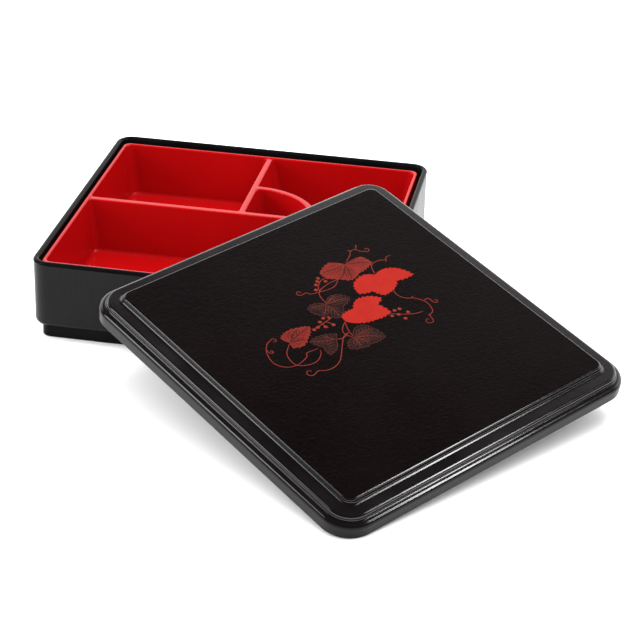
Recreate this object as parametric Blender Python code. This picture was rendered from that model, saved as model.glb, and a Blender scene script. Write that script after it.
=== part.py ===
# Divided bento box: a lacquered outer box on a stepped foot, a one piece divided
# tray that drops into it, and a panelled lid leaning on the box with one corner
# on the ground. Metres, +Z up, origin under the middle of the box's foot.
import math

import bmesh
import bpy
from mathutils import Vector

# Driving dimensions of the box
BOX_WIDTH = 0.2512
BOX_DEPTH = 0.2426
BOX_HEIGHT = 0.061
BOX_CORNER = 0.0125
BOX_WALL = 0.0044
BOX_FLOOR = 0.0030
FOOT_INSET = 0.0052
FOOT_HEIGHT = 0.0100
FOOT_WALL = 0.0080
SHOULDER_RADIUS = 0.0042
WALL_DRAFT = 0.0004
LEDGE_HEIGHT = 0.0140
LEDGE_SLOPE = 0.0016
FOOT_EDGE = 0.0010
LEAST_CORNER = 0.0040

# Driving dimensions of the divided tray, whose lines are in the tray's own axes
TRAY_TOP = 0.0583
DIVIDER_DROP = 0.0009
TRAY_BASE = LEDGE_HEIGHT + 0.0003
TRAY_DEPTH = BOX_DEPTH - 0.0024
TRAY_GAP = 0.0026
TRAY_SHIFT = (-0.0006, -0.0012)
TRAY_RIM = 0.0027
TRAY_FLOOR = 0.0172
POCKET_DRAFT = 0.0050
DIVIDER_LEAN = 1.35
POCKET_CORNER = 0.0053
JUNCTION_CORNER = 0.0026
CORNER_GAIN = 0.5
POCKET_FILLET = 0.0035
EDGE_ROUND = 0.0009
TRAY_BASE_EASE = 0.0008
CUT_MARGIN = 0.0016
CROSS_WALL_Y = 0.0045
CROSS_WALL_THICKNESS = 0.0056
MID_WALL_X = 0.0003
MID_WALL_THICKNESS = 0.0046
ARC_CENTRE = (0.0035, 0.0020)
ARC_RADIUS = 0.0539
ARC_WALL_THICKNESS = 0.0050
ARC_INNER_TURN = 0.0045
ARC_OUTER_TURN = 0.0018

# Driving dimensions of the lid and the way it leans
LID_WIDTH = 0.2590
LID_DEPTH = 0.2690
LID_CORNER = 0.0210
PANEL_CORNER = 0.0060
LID_SKIRT = 0.0073
LID_LEDGE = 0.0103
LID_BAND = 0.0141
LID_PANEL = 0.0182
LID_WALL = 0.0025
SKIRT_WALL = 0.0028
SKIRT_LEAN = 0.0002
SKIRT_EDGE = 0.0008
GROOVE_INSET = 0.0050
GROOVE_ROUND = 0.0014
BAND_ROUND = 0.0019
PANEL_INSET = 0.0158
PANEL_FOOT_ROUND = 0.0024
PANEL_ROUND = 0.0015
UNDER_RISER = 0.0076
UNDER_STEP = 0.0020
UNDER_EASE = 0.0009
LID_PLACE = (0.11661, -0.15483, 0.03797)
LID_TURN = (12.25, -4.936, 50.933)

CORNER_STEPS = 7
ARC_STEPS = 12


def clear_scene():
    for old in list(bpy.data.objects):
        bpy.data.objects.remove(old, do_unlink=True)


def new_collection(name):
    group = bpy.data.collections.new(name)
    bpy.context.scene.collection.children.link(group)
    return group


def lacquer(name, colour, roughness):
    material = bpy.data.materials.new(name)
    material.use_nodes = True
    shader = material.node_tree.nodes["Principled BSDF"]
    shader.inputs["Base Color"].default_value = (*colour, 1.0)
    shader.inputs["Roughness"].default_value = roughness
    shader.inputs["Metallic"].default_value = 0.0
    return material


def rounded_corner(corner, before, after, radius, steps):
    """Arc points that round one corner of an outline with the given radius."""
    corner, before, after = Vector(corner), Vector(before), Vector(after)
    to_before = (before - corner).normalized()
    to_after = (after - corner).normalized()
    half = to_before.angle(to_after) / 2.0
    centre = corner + (to_before + to_after).normalized() * (radius / math.sin(half))
    start = corner + to_before * (radius / math.tan(half)) - centre
    end = corner + to_after * (radius / math.tan(half)) - centre
    a0 = math.atan2(start.y, start.x)
    turn = (math.atan2(end.y, end.x) - a0 + math.pi) % (2.0 * math.pi) - math.pi
    return [
        (centre.x + radius * math.cos(a0 + turn * k / steps),
         centre.y + radius * math.sin(a0 + turn * k / steps))
        for k in range(steps + 1)
    ]


def rounded_rectangle(x0, y0, x1, y1, radius, steps=CORNER_STEPS):
    """Anticlockwise outline of a rectangle with four round corners."""
    corners = [(x1, y0), (x1, y1), (x0, y1), (x0, y0)]
    outline = []
    for i, corner in enumerate(corners):
        outline += rounded_corner(corner, corners[i - 1], corners[(i + 1) % 4], radius, steps)
    return outline


def loft(name, rings, collection):
    """Close a solid over equally long outlines, each an (outline, height) pair."""
    mesh = bmesh.new()
    loops = [[mesh.verts.new((x, y, z)) for x, y in outline] for outline, z in rings]
    count = len(loops[0])
    for lower, upper in zip(loops, loops[1:]):
        for i in range(count):
            j = (i + 1) % count
            mesh.faces.new((lower[i], lower[j], upper[j], upper[i]))
    mesh.faces.new(list(reversed(loops[0])))
    mesh.faces.new(loops[-1])
    bmesh.ops.recalc_face_normals(mesh, faces=mesh.faces)
    data = bpy.data.meshes.new(name)
    mesh.to_mesh(data)
    mesh.free()
    data.shade_smooth()
    data.set_sharp_from_angle(angle=math.radians(40.0))
    solid = bpy.data.objects.new(name, data)
    collection.objects.link(solid)
    return solid


def quarter(inset, height, radius, start, stop, steps=3):
    """Section points (inset, height) on an arc, angles in degrees, 0 pointing inwards."""
    points = []
    for k in range(steps + 1):
        angle = math.radians(start + (stop - start) * k / steps)
        points.append((inset + radius * math.cos(angle), height + radius * math.sin(angle)))
    return points


def ring_stack(width, depth, section, corner, least_corner):
    """Rounded rectangles for a section of (inset, height) points."""
    rings = []
    for inset, height in section:
        half_x = width / 2.0 - inset
        half_y = depth / 2.0 - inset
        radius = max(corner - inset, least_corner)
        rings.append((rounded_rectangle(-half_x, -half_y, half_x, half_y, radius), height))
    return rings


def box_section():
    """Up the outside of foot and wall, over the rim, and down the inside."""
    lip = BOX_WALL / 2.0
    section = quarter(FOOT_INSET + FOOT_EDGE, FOOT_EDGE, FOOT_EDGE, 270.0, 180.0, 2)
    section += [(FOOT_INSET, FOOT_HEIGHT - FOOT_EDGE / 2.0)]
    section += quarter(WALL_DRAFT + SHOULDER_RADIUS, FOOT_HEIGHT + SHOULDER_RADIUS,
                       SHOULDER_RADIUS, 262.0, 180.0, 5)
    section += quarter(lip, BOX_HEIGHT - lip, lip, 180.0, 0.0, 6)
    inner_wall = BOX_WALL + WALL_DRAFT
    inner_foot = FOOT_INSET + FOOT_WALL
    section += [(inner_wall, LEDGE_HEIGHT + LEDGE_SLOPE)]
    section += [(inner_wall + LEDGE_SLOPE, LEDGE_HEIGHT)]
    section += [(inner_foot, LEDGE_HEIGHT - LEDGE_SLOPE / 2.0)]
    section += [(inner_foot + WALL_DRAFT, BOX_FLOOR)]
    return section


def make_box(collection):
    rings = ring_stack(BOX_WIDTH, BOX_DEPTH, box_section(), BOX_CORNER, LEAST_CORNER)
    box = loft("outer_box", rings, collection)
    box.data.materials.append(lacquer("black_lacquer", (0.012, 0.012, 0.013), 0.35))
    return box


def as_cutter(solid):
    solid.location = (*TRAY_SHIFT, 0.0)
    solid.hide_render = True
    solid.display_type = "WIRE"
    return solid


def pocket_levels(top):
    """(shrink, height) steps of a pocket from its flared mouth to its filleted floor."""
    near = EDGE_ROUND / 3.0
    levels = [(-CUT_MARGIN, top + CUT_MARGIN), (-EDGE_ROUND, top + near / 3.0)]
    levels += [(-near, top - near), (0.0, top - EDGE_ROUND)]
    wall_foot = TRAY_FLOOR + POCKET_FILLET
    levels.append((POCKET_DRAFT, wall_foot))
    for angle in (30.0, 60.0, 90.0):
        a = math.radians(angle)
        levels.append((POCKET_DRAFT + POCKET_FILLET * (1.0 - math.cos(a)),
                       wall_foot - POCKET_FILLET * math.sin(a)))
    return levels


def pocket(name, outline_at, collection):
    """A pocket's cutter, lofted through the outlines at its levels, floor first."""
    levels = pocket_levels(TRAY_TOP - DIVIDER_DROP)
    rings = [(outline_at(shrink), height) for shrink, height in reversed(levels)]
    return as_cutter(loft(name, rings, collection))


def tray_lines():
    """Inner faces of the tray's rim and of its two straight dividers."""
    half_x = BOX_WIDTH / 2.0 - BOX_WALL - TRAY_GAP - TRAY_RIM
    half_y = TRAY_DEPTH / 2.0 - BOX_WALL - TRAY_GAP - TRAY_RIM
    return {
        "right": half_x,
        "left": -half_x,
        "back": half_y,
        "front": -half_y,
        "cross_back": CROSS_WALL_Y + CROSS_WALL_THICKNESS / 2.0,
        "cross_front": CROSS_WALL_Y - CROSS_WALL_THICKNESS / 2.0,
        "mid_left": MID_WALL_X - MID_WALL_THICKNESS / 2.0,
        "mid_right": MID_WALL_X + MID_WALL_THICKNESS / 2.0,
    }


def wide_corner(shrink):
    """Radius of a pocket corner where the rim turns; it grows towards the floor."""
    return POCKET_CORNER + CORNER_GAIN * shrink


def tight_corner(shrink):
    """Radius of a pocket corner where a divider meets another wall."""
    return JUNCTION_CORNER + CORNER_GAIN * shrink


def corner_arc(x, y, radius, index):
    """One corner; index 0 to 3 is front right, back right, back left, front left."""
    side_x, side_y = ((1, -1), (1, 1), (-1, 1), (-1, -1))[index]
    centre = (x - side_x * radius, y - side_y * radius)
    start = (index - 1) * math.pi / 2.0
    return arc_points(centre, radius, start, start + math.pi / 2.0, CORNER_STEPS)


def front_pocket(lines):
    def outline_at(shrink):
        x0, x1 = lines["left"] + shrink, lines["right"] - shrink
        y0, y1 = lines["front"] + shrink, lines["cross_front"] - DIVIDER_LEAN * shrink
        wide, tight = wide_corner(shrink), tight_corner(shrink)
        return (corner_arc(x1, y0, wide, 0) + corner_arc(x1, y1, tight, 1)
                + corner_arc(x0, y1, tight, 2) + corner_arc(x0, y0, wide, 3))
    return outline_at


def back_left_pocket(lines):
    def outline_at(shrink):
        x0, x1 = lines["left"] + shrink, lines["mid_left"] - DIVIDER_LEAN * shrink
        y0, y1 = lines["cross_back"] + DIVIDER_LEAN * shrink, lines["back"] - shrink
        wide, tight = wide_corner(shrink), tight_corner(shrink)
        return (corner_arc(x1, y0, tight, 0) + corner_arc(x1, y1, tight, 1)
                + corner_arc(x0, y1, wide, 2) + corner_arc(x0, y0, tight, 3))
    return outline_at


def quarter_pocket(lines):
    """A quarter round against both dividers, its arc facing the back right."""
    def outline_at(shrink):
        x0 = lines["mid_right"] + DIVIDER_LEAN * shrink
        y0 = lines["cross_back"] + DIVIDER_LEAN * shrink
        radius = ARC_RADIUS - ARC_WALL_THICKNESS - shrink
        turn = ARC_INNER_TURN
        inner = radius - turn
        low = math.asin((y0 + turn - ARC_CENTRE[1]) / inner)
        high = math.acos((x0 + turn - ARC_CENTRE[0]) / inner)
        turn_low = (ARC_CENTRE[0] + inner * math.cos(low), y0 + turn)
        turn_high = (x0 + turn, ARC_CENTRE[1] + inner * math.sin(high))
        outline = arc_points(turn_low, turn, -math.pi / 2.0, low, CORNER_STEPS)
        outline += arc_points(ARC_CENTRE, radius, low, high, ARC_STEPS)[1:-1]
        outline += arc_points(turn_high, turn, high, math.pi, CORNER_STEPS)
        outline += corner_arc(x0, y0, tight_corner(shrink), 3)
        return outline
    return outline_at


def arc_points(centre, radius, start, stop, steps):
    return [
        (centre[0] + radius * math.cos(start + (stop - start) * k / steps),
         centre[1] + radius * math.sin(start + (stop - start) * k / steps))
        for k in range(steps + 1)
    ]


def bent_pocket(lines):
    """The back right pocket: a rectangle whose near left corner gives way to the arc."""
    def outline_at(shrink):
        x0, x1 = lines["mid_right"] + DIVIDER_LEAN * shrink, lines["right"] - shrink
        y0, y1 = lines["cross_back"] + DIVIDER_LEAN * shrink, lines["back"] - shrink
        outer = ARC_RADIUS + shrink
        turn = ARC_OUTER_TURN + CORNER_GAIN * shrink
        reach = outer + turn
        low = math.asin((y0 + turn - ARC_CENTRE[1]) / reach)
        high = math.acos((x0 + turn - ARC_CENTRE[0]) / reach)
        turn_low = (ARC_CENTRE[0] + reach * math.cos(low), y0 + turn)
        turn_high = (x0 + turn, ARC_CENTRE[1] + reach * math.sin(high))
        wide, tight = wide_corner(shrink), tight_corner(shrink)
        outline = corner_arc(x1, y0, tight, 0) + corner_arc(x1, y1, wide, 1)
        outline += corner_arc(x0, y1, tight, 2)
        outline += arc_points(turn_high, turn, math.pi, math.pi + high, CORNER_STEPS)
        outline += arc_points(ARC_CENTRE, outer, high, low, ARC_STEPS)[1:-1]
        outline += arc_points(turn_low, turn, math.pi + low, 1.5 * math.pi, CORNER_STEPS)
        return outline
    return outline_at


def cut(solid, cutter):
    modifier = solid.modifiers.new(cutter.name, "BOOLEAN")
    modifier.operation = "DIFFERENCE"
    modifier.solver = "EXACT"
    modifier.object = cutter


def make_tray(collection, cutters):
    outer = BOX_WALL + TRAY_GAP
    edge = EDGE_ROUND
    section = [(outer + 2.0 * TRAY_BASE_EASE, TRAY_BASE)]
    section += [(outer + TRAY_BASE_EASE, TRAY_BASE + TRAY_BASE_EASE)]
    section += quarter(outer + edge, TRAY_TOP - edge, edge, 180.0, 90.0, 3)
    rings = ring_stack(BOX_WIDTH, TRAY_DEPTH, section, BOX_CORNER, LEAST_CORNER)
    tray = loft("divided_tray", rings, collection)
    tray.location = (*TRAY_SHIFT, 0.0)
    tray.data.materials.append(lacquer("red_lacquer", (0.55, 0.006, 0.006), 0.25))
    lines = tray_lines()
    drop = TRAY_TOP - DIVIDER_DROP
    rise = ((0.0, drop), (-edge / 3.0, TRAY_TOP - edge / 3.0), (-edge, TRAY_TOP + edge / 2.0))
    lowered = []
    for shrink, height in rise:
        lowered.append((rounded_rectangle(lines["left"] + shrink, lines["front"] + shrink,
                                          lines["right"] - shrink, lines["back"] - shrink,
                                          POCKET_CORNER - shrink), height))
    cut(tray, as_cutter(loft("divider_lowering", lowered, cutters)))
    pockets = {
        "front_pocket": front_pocket(lines),
        "back_left_pocket": back_left_pocket(lines),
        "quarter_pocket": quarter_pocket(lines),
        "back_right_pocket": bent_pocket(lines),
    }
    for name, outline_at in pockets.items():
        cut(tray, pocket(name, outline_at, cutters))
    return tray


def lid_section():
    """Down the hollow underside, round the skirt's edge, and up the stepped top."""
    ceiling = LID_PANEL - LID_WALL
    shelf = LID_BAND - LID_WALL
    ledge = LID_LEDGE - LID_WALL
    ease = UNDER_EASE
    step = PANEL_INSET + UNDER_STEP
    section = [(step + ease, ceiling), (step, ceiling - ease)]
    section += [(step, shelf + ease), (step - ease, shelf)]
    section += [(UNDER_RISER + ease, shelf), (UNDER_RISER, shelf - ease)]
    section += [(UNDER_RISER, ledge + ease), (UNDER_RISER - ease, ledge)]
    section += [(SKIRT_WALL + ease, ledge), (SKIRT_WALL, ledge - 2.0 * ease)]
    edge = SKIRT_EDGE
    section += [(SKIRT_WALL, edge / 2.0), (SKIRT_WALL - edge / 2.0, 0.0)]
    section += [(edge, 0.0), (SKIRT_LEAN, edge), (0.0, 2.0 * edge)]
    shoulder = LID_LEDGE - LID_SKIRT
    section += quarter(SKIRT_LEAN + shoulder, LID_SKIRT, shoulder, 180.0, 98.0, 4)
    section += quarter(GROOVE_INSET - GROOVE_ROUND, LID_LEDGE + GROOVE_ROUND - SKIRT_LEAN,
                       GROOVE_ROUND, 270.0, 360.0, 3)
    section += quarter(GROOVE_INSET + SKIRT_LEAN + BAND_ROUND, LID_BAND - BAND_ROUND,
                       BAND_ROUND, 180.0, 90.0, 4)
    section += quarter(PANEL_INSET - SKIRT_LEAN - PANEL_FOOT_ROUND, LID_BAND + PANEL_FOOT_ROUND,
                       PANEL_FOOT_ROUND, 270.0, 360.0, 3)
    section += quarter(PANEL_INSET + PANEL_ROUND, LID_PANEL - PANEL_ROUND,
                       PANEL_ROUND, 180.0, 90.0, 4)
    return section


def make_lid(collection):
    rings = ring_stack(LID_WIDTH, LID_DEPTH, lid_section(), LID_CORNER, PANEL_CORNER)
    lid = loft("lid", rings, collection)
    lid.data.materials.append(lacquer("lid_lacquer", (0.014, 0.011, 0.011), 0.4))
    lid.location = LID_PLACE
    lid.rotation_euler = [math.radians(angle) for angle in LID_TURN]
    return lid


def main():
    clear_scene()
    parts = new_collection("divided_bento_box")
    cutters = new_collection("cutters")
    make_box(parts)
    make_tray(parts, cutters)
    make_lid(parts)


main()
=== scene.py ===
# An empty divided bento box: black outer box, red divided tray, and a dark lid that
# leans on the box with one corner on the floor. Everything is in metres in the frame.
import math
import bmesh
import bpy
import numpy as np
from mathutils import Euler, Matrix, Vector
from mathutils.geometry import delaunay_2d_cdt


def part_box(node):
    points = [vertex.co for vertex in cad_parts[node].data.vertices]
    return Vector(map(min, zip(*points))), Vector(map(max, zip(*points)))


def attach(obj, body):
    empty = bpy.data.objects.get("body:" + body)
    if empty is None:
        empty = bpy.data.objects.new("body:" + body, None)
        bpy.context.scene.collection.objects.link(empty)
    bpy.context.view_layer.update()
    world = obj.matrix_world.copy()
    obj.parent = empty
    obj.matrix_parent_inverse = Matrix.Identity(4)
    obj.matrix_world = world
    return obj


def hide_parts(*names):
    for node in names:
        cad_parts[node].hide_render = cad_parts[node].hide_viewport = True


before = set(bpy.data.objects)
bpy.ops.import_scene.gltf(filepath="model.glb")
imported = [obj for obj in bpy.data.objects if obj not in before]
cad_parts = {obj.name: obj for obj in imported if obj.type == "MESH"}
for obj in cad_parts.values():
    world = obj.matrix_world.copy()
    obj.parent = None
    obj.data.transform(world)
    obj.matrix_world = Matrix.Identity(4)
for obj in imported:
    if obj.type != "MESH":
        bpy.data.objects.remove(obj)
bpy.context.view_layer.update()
print("frame loaded")


# ---- shared mesh helpers

def roundedProfile(corners, steps=6, support=0.00008):
    # A section line: every (inset, height, radius) corner becomes an arc that touches both
    # of its straights, with one support point on each straight so that flats shade flat.
    points = [np.array(corners[0][:2])]
    for before, here, after in zip(corners, corners[1:], corners[2:]):
        p, radius = np.array(here[:2]), here[2]
        toBefore = np.array(before[:2]) - p
        toAfter = np.array(after[:2]) - p
        toBefore /= np.linalg.norm(toBefore)
        toAfter /= np.linalg.norm(toAfter)
        half = math.acos(np.clip(toBefore @ toAfter, -1, 1)) / 2
        reach = radius / math.tan(half)
        bisector = (toBefore + toAfter) / np.linalg.norm(toBefore + toAfter)
        centre = p + bisector * radius / math.sin(half)
        start, stop = p + toBefore * reach - centre, p + toAfter * reach - centre
        first = math.atan2(start[1], start[0])
        turn = (math.atan2(stop[1], stop[0]) - first + math.pi) % (2 * math.pi) - math.pi
        angle = first + turn * np.linspace(0, 1, steps + 1)
        arc = centre + radius * np.stack([np.cos(angle), np.sin(angle)], 1)
        points += [arc[0] + toBefore * support, *arc, arc[-1] + toAfter * support]
    points.append(np.array(corners[-1][:2]))
    return np.array(points)


def ringGrid(profile, halfX, halfY, corner, leastCorner, steps=14, support=0.0015):
    # Each section point (inset, height) becomes a round-cornered rectangle: a corner's centre
    # plus radius times (cos, sin), with support points slid along the tangent at both ends.
    inset = profile[:, :1]
    radius = np.maximum(corner - inset, leastCorner)
    sweep = np.concatenate([[0], np.linspace(0, 1, steps + 1), [1]])
    slide = np.tile(np.concatenate([[-support], np.zeros(steps + 1), [support]]), 4)
    angle = ((np.arange(4)[:, None] - 1 + sweep) * math.pi / 2).ravel()
    signX = np.repeat([1, 1, -1, -1], steps + 3)
    signY = np.repeat([-1, 1, 1, -1], steps + 3)
    x = signX * (halfX - inset - radius) + radius * np.cos(angle) - slide * np.sin(angle)
    y = signY * (halfY - inset - radius) + radius * np.sin(angle) + slide * np.cos(angle)
    z = np.broadcast_to(profile[:, 1:], x.shape)
    return np.stack([x, y, z], -1)


def gridFaces(rings, count, start=0):
    # Quads between neighbouring rings of a closed grid, the last point joined to the first.
    i, j = np.meshgrid(np.arange(rings - 1), np.arange(count), indexing="ij")
    a = start + i * count + j
    b = start + i * count + (j + 1) % count
    return np.stack([a, b, b + count, a + count], -1).reshape(-1, 4)


def makePiece(name, points, faces, materials, slots=None):
    mesh = bpy.data.meshes.new(name)
    mesh.from_pydata(np.asarray(points).tolist(), [], faces)
    for material in materials:
        mesh.materials.append(material)
    if slots is not None:
        mesh.polygons.foreach_set("material_index", np.asarray(slots, dtype=np.int32))
    mesh.shade_smooth()
    mesh.update()
    piece = bpy.data.objects.new(name, mesh)
    bpy.context.scene.collection.objects.link(piece)
    return piece


def closedLoft(name, grid, materials, ringSlots, bottomSlot=0, topSlot=0):
    # Rings joined by quads and closed by a face at the first and at the last ring.
    rings, count = grid.shape[:2]
    quads = gridFaces(rings, count)
    bottom = list(range(count))[::-1]
    top = list(range((rings - 1) * count, rings * count))
    slots = np.concatenate([np.repeat(ringSlots, count), [bottomSlot, topSlot]])
    return makePiece(name, grid.reshape(-1, 3), quads.tolist() + [bottom, top], materials, slots)


# ---- shared material helpers

def newTree(name):
    material = bpy.data.materials.new(name)
    material.use_nodes = True
    tree = material.node_tree
    return material, tree, tree.nodes["Principled BSDF"]


def addNode(tree, kind, inputs=None, **settings):
    node = tree.nodes.new(kind)
    for key, value in settings.items():
        setattr(node, key, value)
    for key, value in (inputs or {}).items():
        if isinstance(value, bpy.types.NodeSocket):
            tree.links.new(value, node.inputs[key])
        else:
            node.inputs[key].default_value = value
    return node


def newGroup(name, numbers, results):
    # A node group with a vector input, number inputs and number outputs.
    group = bpy.data.node_groups.new(name, "ShaderNodeTree")
    group.interface.new_socket(name="Vector", in_out="INPUT", socket_type="NodeSocketVector")
    for names, direction in ((numbers, "INPUT"), (results, "OUTPUT")):
        for socketName in names:
            group.interface.new_socket(name=socketName, in_out=direction,
                                       socket_type="NodeSocketFloat")
    return group, group.nodes.new("NodeGroupInput"), group.nodes.new("NodeGroupOutput")


def makeMottleGroup():
    # Slow cloudy noise for colour and gloss, and a fine lacquer waviness as height.
    group, source, target = newGroup("lacquerMottle", ("Cloud Scale", "Peel Scale"),
                                     ("Cloud", "Peel"))
    for outName, scaleName, detail in (("Cloud", "Cloud Scale", 3.0), ("Peel", "Peel Scale", 1.5)):
        noise = addNode(group, "ShaderNodeTexNoise", {
            "Vector": source.outputs["Vector"], "Scale": source.outputs[scaleName],
            "Detail": detail, "Roughness": 0.55})
        group.links.new(noise.outputs["Fac"], target.inputs[outName])
    return group


def makeGrainGroup():
    # Streaks that run along the local z axis: one noise, stretched along that axis.
    group, source, target = newGroup("brushedGrain", ("Across Scale", "Length Share"),
                                     ("Streaks",))
    stretch = addNode(group, "ShaderNodeCombineXYZ", {
        "X": 1.0, "Y": 1.0, "Z": source.outputs["Length Share"]})
    squeezed = addNode(group, "ShaderNodeVectorMath", {
        0: source.outputs["Vector"], 1: stretch.outputs["Vector"]}, operation="MULTIPLY")
    fine = addNode(group, "ShaderNodeTexNoise", {
        "Vector": squeezed.outputs["Vector"], "Scale": source.outputs["Across Scale"],
        "Detail": 4.0, "Roughness": 0.65})
    group.links.new(fine.outputs["Fac"], target.inputs["Streaks"])
    return group


mottleGroup = makeMottleGroup()
grainGroup = makeGrainGroup()


def scaleRange(tree, value, low, high):
    # Spreads a noise value of about 0.3 to 0.7 over low to high.
    node = addNode(tree, "ShaderNodeMapRange", {
        "Value": value, "From Min": 0.3, "From Max": 0.7, "To Min": low, "To Max": high})
    return node.outputs["Result"]


plainLook = {"peelDepth": 0.00002, "coat": 0.0, "coatRoughness": 0.1}


def lacquerMaterial(name, ownLook, place=None):
    # Lacquer or moulded plastic: a cloudy base colour and gloss, a clear coat and fine relief.
    look = {**plainLook, **ownLook}
    material, tree, shader = newTree(name)
    coordinates = addNode(tree, "ShaderNodeTexCoord").outputs["Object"]
    if place is not None:  # undo the lid's lean, so that patterns follow its own axes
        coordinates = addNode(tree, "ShaderNodeMapping", {
            "Vector": coordinates, "Location": place[0], "Rotation": place[1]},
            vector_type="TEXTURE").outputs["Vector"]
    mottle = addNode(tree, "ShaderNodeGroup", node_tree=mottleGroup)
    tree.links.new(coordinates, mottle.inputs["Vector"])
    mottle.inputs["Cloud Scale"].default_value = look["cloudScale"]
    mottle.inputs["Peel Scale"].default_value = look["peelScale"]
    mix = addNode(tree, "ShaderNodeMix", data_type="RGBA")
    tree.links.new(scaleRange(tree, mottle.outputs["Cloud"], 0.0, 1.0), mix.inputs["Factor"])
    mix.inputs["A"].default_value = (*look["colour"], 1)
    mix.inputs["B"].default_value = (*look["colourTwo"], 1)
    colour = mix.outputs["Result"]
    roughness = scaleRange(tree, mottle.outputs["Cloud"], *look["roughness"])
    height = mottle.outputs["Peel"]
    normal = addNode(tree, "ShaderNodeBump", {
        "Height": height, "Strength": 1.0, "Distance": look["peelDepth"]}).outputs["Normal"]
    if "grain" in look:
        grain = addNode(tree, "ShaderNodeGroup", node_tree=grainGroup)
        tree.links.new(coordinates, grain.inputs["Vector"])
        grain.inputs["Across Scale"].default_value = look["grain"]["scale"]
        grain.inputs["Length Share"].default_value = look["grain"]["lengthShare"]
        streaks = grain.outputs["Streaks"]
        normal = addNode(tree, "ShaderNodeBump", {
            "Height": streaks, "Strength": 1.0, "Distance": look["grain"]["depth"],
            "Normal": normal}).outputs["Normal"]
        tint = addNode(tree, "ShaderNodeMix", data_type="RGBA", blend_type="MULTIPLY")
        tint.inputs["Factor"].default_value = 1.0
        tree.links.new(colour, tint.inputs["A"])
        shade = scaleRange(tree, streaks, look["grain"]["dark"], look["grain"]["light"])
        tree.links.new(shade, tint.inputs["B"])
        colour = tint.outputs["Result"]
    if "crepe" in look:
        along = look["crepe"]["lengthShare"]
        squeezed = addNode(tree, "ShaderNodeMapping", {
            "Vector": coordinates, "Rotation": (0, 0, math.radians(-look["crepe"]["turn"])),
            "Scale": (along, 1, 1)}, vector_type="POINT").outputs["Vector"]
        wave = addNode(tree, "ShaderNodeTexNoise", {
            "Vector": squeezed, "Scale": look["crepe"]["scale"], "Detail": 2.5,
            "Roughness": 0.6, "Distortion": look["crepe"]["distortion"]})
        normal = addNode(tree, "ShaderNodeBump", {
            "Height": wave.outputs["Fac"], "Strength": 1.0, "Distance": look["crepe"]["depth"],
            "Normal": normal}).outputs["Normal"]
    tree.links.new(colour, shader.inputs["Base Color"])
    tree.links.new(roughness, shader.inputs["Roughness"])
    tree.links.new(normal, shader.inputs["Normal"])
    shader.inputs["Specular IOR Level"].default_value = look["specular"]
    shader.inputs["Coat Weight"].default_value = look["coat"]
    shader.inputs["Coat Roughness"].default_value = look["coatRoughness"]
    return material


# ---- outer box

outerBox = {
    "corner": 0.0125, "leastCorner": 0.004, "wall": 0.0044, "floor": 0.0030,
    "footInset": 0.0052, "footWall": 0.0080, "footHeight": 0.0100, "shoulder": 0.0042,
    "ledge": 0.0140, "lipHeight": 0.0022, "lipProud": 0.0003, "innerDraft": 0.0004,
    "footReach": 0.006, "footEdge": 0.0009, "footTurn": 0.0006, "lipStep": 0.0002,
    "lipTurn": 0.0003, "rimSlack": 0.00004, "wallFootTurn": 0.0016, "ledgeTurn": 0.0006,
    "ledgeDraft": 0.0004, "floorTurn": 0.0010, "floorReach": 0.010,
    "sideInset": 0.0016, "sideRise": 0.002,
    "gloss": {"colour": (0.0025, 0.0024, 0.0026), "colourTwo": (0.0040, 0.0038, 0.0042),
              "roughness": (0.10, 0.20), "cloudScale": 30.0, "peelScale": 260.0,
              "specular": 0.045, "coatRoughness": 0.05},
    "side": {"colour": (0.0034, 0.0032, 0.0036), "colourTwo": (0.0052, 0.0049, 0.0056),
             "roughness": (0.26, 0.36), "cloudScale": 22.0, "peelScale": 400.0,
             "specular": 0.11, "grain": {"scale": 1500.0, "lengthShare": 0.03,
                                         "depth": 0.00012, "dark": 0.6, "light": 1.4}},
}


def makeOuterBox(s):
    # The section runs from under the foot, up the wall, over the rim and down to the inner floor.
    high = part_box("outer_box")[1]
    height = high.z
    lipLow = height - s["lipHeight"]
    rimRound = s["wall"] / 2 - s["rimSlack"]
    innerWall = s["wall"] + s["innerDraft"]
    innerFoot = s["footInset"] + s["footWall"]
    profile = roundedProfile([
        (s["footInset"] + s["footReach"], 0.0), (s["footInset"], 0.0, s["footEdge"]),
        (s["footInset"], s["footHeight"], s["footTurn"]),
        (s["lipProud"], s["footHeight"], s["shoulder"]),
        (s["lipProud"], lipLow - s["lipStep"], s["lipTurn"]),
        (0.0, lipLow + s["lipStep"], s["lipTurn"]),
        (0.0, height, rimRound), (s["wall"], height, rimRound),
        (innerWall, s["ledge"], s["wallFootTurn"]), (innerFoot, s["ledge"], s["ledgeTurn"]),
        (innerFoot + s["ledgeDraft"], s["floor"], s["floorTurn"]),
        (innerFoot + s["floorReach"], s["floor"])])
    grid = ringGrid(profile, high.x, high.y, s["corner"], s["leastCorner"])
    middle = (profile[1:] + profile[:-1]) / 2
    isSide = (middle[:, 0] < s["sideInset"]) & (middle[:, 1] < lipLow)
    isSide &= middle[:, 1] > s["footHeight"] + s["sideRise"]
    materials = [lacquerMaterial("boxGloss", s["gloss"]), lacquerMaterial("boxSide", s["side"])]
    piece = closedLoft("blackOuterBox", grid, materials, isSide.astype(int))
    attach(piece, "root")
    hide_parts("outer_box")
    return piece


makeOuterBox(outerBox)
print("outer box made")


# ---- divided tray

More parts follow.
